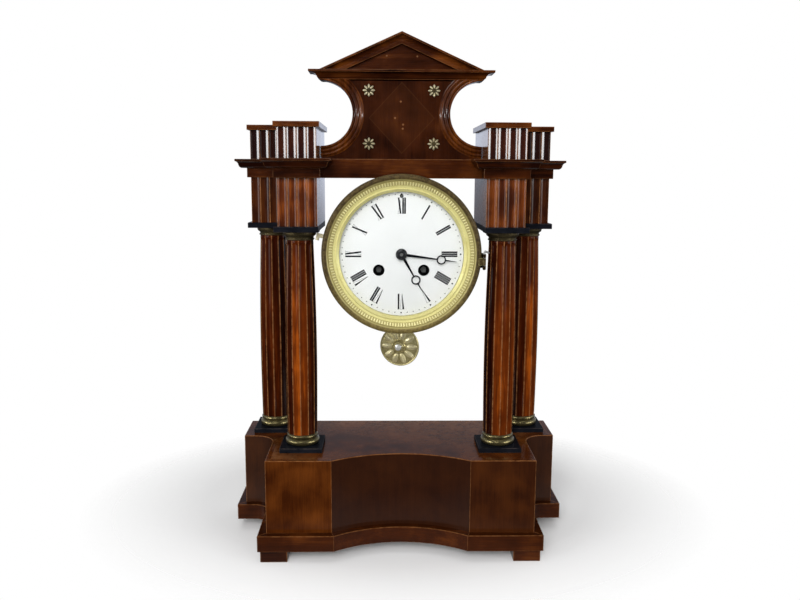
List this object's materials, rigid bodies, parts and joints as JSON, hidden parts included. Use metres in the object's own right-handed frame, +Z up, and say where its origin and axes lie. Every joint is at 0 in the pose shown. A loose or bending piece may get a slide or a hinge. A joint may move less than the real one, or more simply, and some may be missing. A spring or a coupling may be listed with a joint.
{
  "type": "mantel clock",
  "caption": "Portico mantel clock: a drum movement with hinged bezel and swinging pendulum hangs between fluted columns on a stepped base under a pediment.",
  "frame": {"origin": "on the floor under the middle of the clock's box", "axes": "+X to the clock's right as one faces the dial, +Y from the dial to the back, +Z up"},
  "size_m": [0.2842, 0.1114, 0.4228],
  "materials": {
    "mahogany": "french polished",
    "ebonised_wood": "satin",
    "lacquered_brass": "polished, lacquered",
    "gilt_brass": "aged gilt",
    "plain_brass": "grained",
    "bell_metal": "turned",
    "white_enamel": "gloss",
    "clear_glass": "clear",
    "blued_steel": "blued",
    "bright_steel": "polished"
  },
  "bodies": {
    "case": {"feet": "mahogany", "base_plinth": "mahogany", "base_body": "mahogany", "column_plinths": "ebonised_wood", "column_base_rings": "lacquered_brass", "column_front_left": "mahogany", "column_front_right": "mahogany", "column_rear_left": "mahogany", "column_rear_right": "mahogany", "capital_rings": "gilt_brass", "abacus_left": "ebonised_wood", "abacus_right": "ebonised_wood", "frieze_block_left": "mahogany", "frieze_block_right": "mahogany", "architrave_left": "mahogany", "architrave_right": "mahogany", "cornice_left": "mahogany", "cornice_right": "mahogany", "attic_block_left": "mahogany", "attic_block_right": "mahogany", "attic_cap_left": "mahogany", "attic_cap_right": "mahogany", "lintel": "mahogany", "pediment_panel": "mahogany", "scroll_mouldings": "mahogany", "pediment_cornice": "mahogany", "tympanum": "mahogany", "raking_cornice": "mahogany", "rosettes": "gilt_brass", "drum": "lacquered_brass", "drum_saddle": "mahogany", "hanger_screws": "bright_steel", "dial": "white_enamel", "bezel_hinge_pin": "bright_steel", "front_plate": "plain_brass", "back_plate": "plain_brass", "pillars": "plain_brass", "pendulum_cock": "plain_brass", "bell_stand": "plain_brass", "bell": "bell_metal"},
    "bezel_door": {"bezel": "lacquered_brass", "bezel_glass": "clear_glass", "bezel_pull": "lacquered_brass"},
    "minute_work": {"centre_arbor": "bright_steel", "minute_hand": "blued_steel", "hand_collet": "blued_steel"},
    "hour_work": {"hour_wheel": "plain_brass", "hour_hand": "blued_steel"},
    "motion_work": {"motion_wheel": "plain_brass"},
    "going_drive": {"going_barrel": "plain_brass"},
    "going_key_arbor": {"going_winder": "bright_steel"},
    "strike_drive": {"strike_barrel": "plain_brass"},
    "strike_key_arbor": {"strike_winder": "bright_steel"},
    "third_drive": {"third_wheel": "plain_brass"},
    "escape_drive": {"escape_wheel": "plain_brass"},
    "pallets": {"pallet_anchor": "bright_steel"},
    "pendulum": {"pendulum_rod": "lacquered_brass", "pendulum_bob": "lacquered_brass"},
    "pin_drive": {"pin_wheel": "plain_brass"},
    "strike_hammer": {"hammer": "bright_steel"}
  },
  "joints": [
    {"name": "bezel_swing", "type": "hinge", "parent": "case", "child": "bezel_door", "pos_m": [0.0659, -0.0284, 0.242], "axis": [0, 0, 1], "range_deg": [0, 110]},
    {"name": "minute_turn", "type": "hinge", "parent": "case", "child": "minute_work", "pos_m": [0, 0, 0.247], "axis": [0, 1, 0], "continuous": true},
    {"name": "hour_turn", "type": "hinge", "parent": "case", "child": "hour_work", "pos_m": [0, 0, 0.247], "axis": [0, 1, 0], "continuous": true},
    {"name": "motion_turn", "type": "hinge", "parent": "case", "child": "motion_work", "pos_m": [0, 0, 0.259], "axis": [0, 1, 0], "continuous": true},
    {"name": "going_turn", "type": "hinge", "parent": "case", "child": "going_drive", "pos_m": [0.0182, 0, 0.23377], "axis": [0, 1, 0], "continuous": true},
    {"name": "third_turn", "type": "hinge", "parent": "case", "child": "third_drive", "pos_m": [0.01218, 0, 0.26173], "axis": [0, 1, 0], "continuous": true},
    {"name": "escape_turn", "type": "hinge", "parent": "case", "child": "escape_drive", "pos_m": [0, 0, 0.274], "axis": [0, 1, 0], "continuous": true},
    {"name": "going_wind", "type": "hinge", "parent": "case", "child": "going_key_arbor", "pos_m": [0.0182, 0, 0.23377], "axis": [0, 1, 0], "range_deg": [0, 1440]},
    {"name": "strike_wind", "type": "hinge", "parent": "case", "child": "strike_key_arbor", "pos_m": [-0.0182, 0, 0.23377], "axis": [0, 1, 0], "range_deg": [0, 1440]},
    {"name": "strike_turn", "type": "hinge", "parent": "case", "child": "strike_drive", "pos_m": [-0.0182, 0, 0.23377], "axis": [0, 1, 0], "continuous": true},
    {"name": "pin_turn", "type": "hinge", "parent": "case", "child": "pin_drive", "pos_m": [-0.02572, 0, 0.25444], "axis": [0, 1, 0], "continuous": true},
    {"name": "pendulum_swing", "type": "hinge", "parent": "case", "child": "pendulum", "pos_m": [0, 0.0336, 0.2865], "axis": [0, 1, 0], "range_deg": [-4, 4]},
    {"name": "pallet_rock", "type": "hinge", "parent": "case", "child": "pallets", "pos_m": [0, 0.0336, 0.2865], "axis": [0, 1, 0], "range_deg": [-4, 4]},
    {"name": "hammer_lift", "type": "hinge", "parent": "case", "child": "strike_hammer", "pos_m": [-0.03822, 0, 0.26244], "axis": [0, 1, 0], "range_deg": [0, 14]}
  ],
  "couplings": [
    {"joint": "hour_turn", "follows": "minute_turn", "ratio": 0.083333},
    {"joint": "motion_turn", "follows": "minute_turn", "ratio": -0.33333},
    {"joint": "going_turn", "follows": "minute_turn", "ratio": -0.125},
    {"joint": "third_turn", "follows": "minute_turn", "ratio": -12},
    {"joint": "escape_turn", "follows": "minute_turn", "ratio": 144},
    {"joint": "pin_turn", "follows": "strike_turn", "ratio": -10},
    {"joint": "pallet_rock", "follows": "pendulum_swing", "ratio": 1}
  ]
}
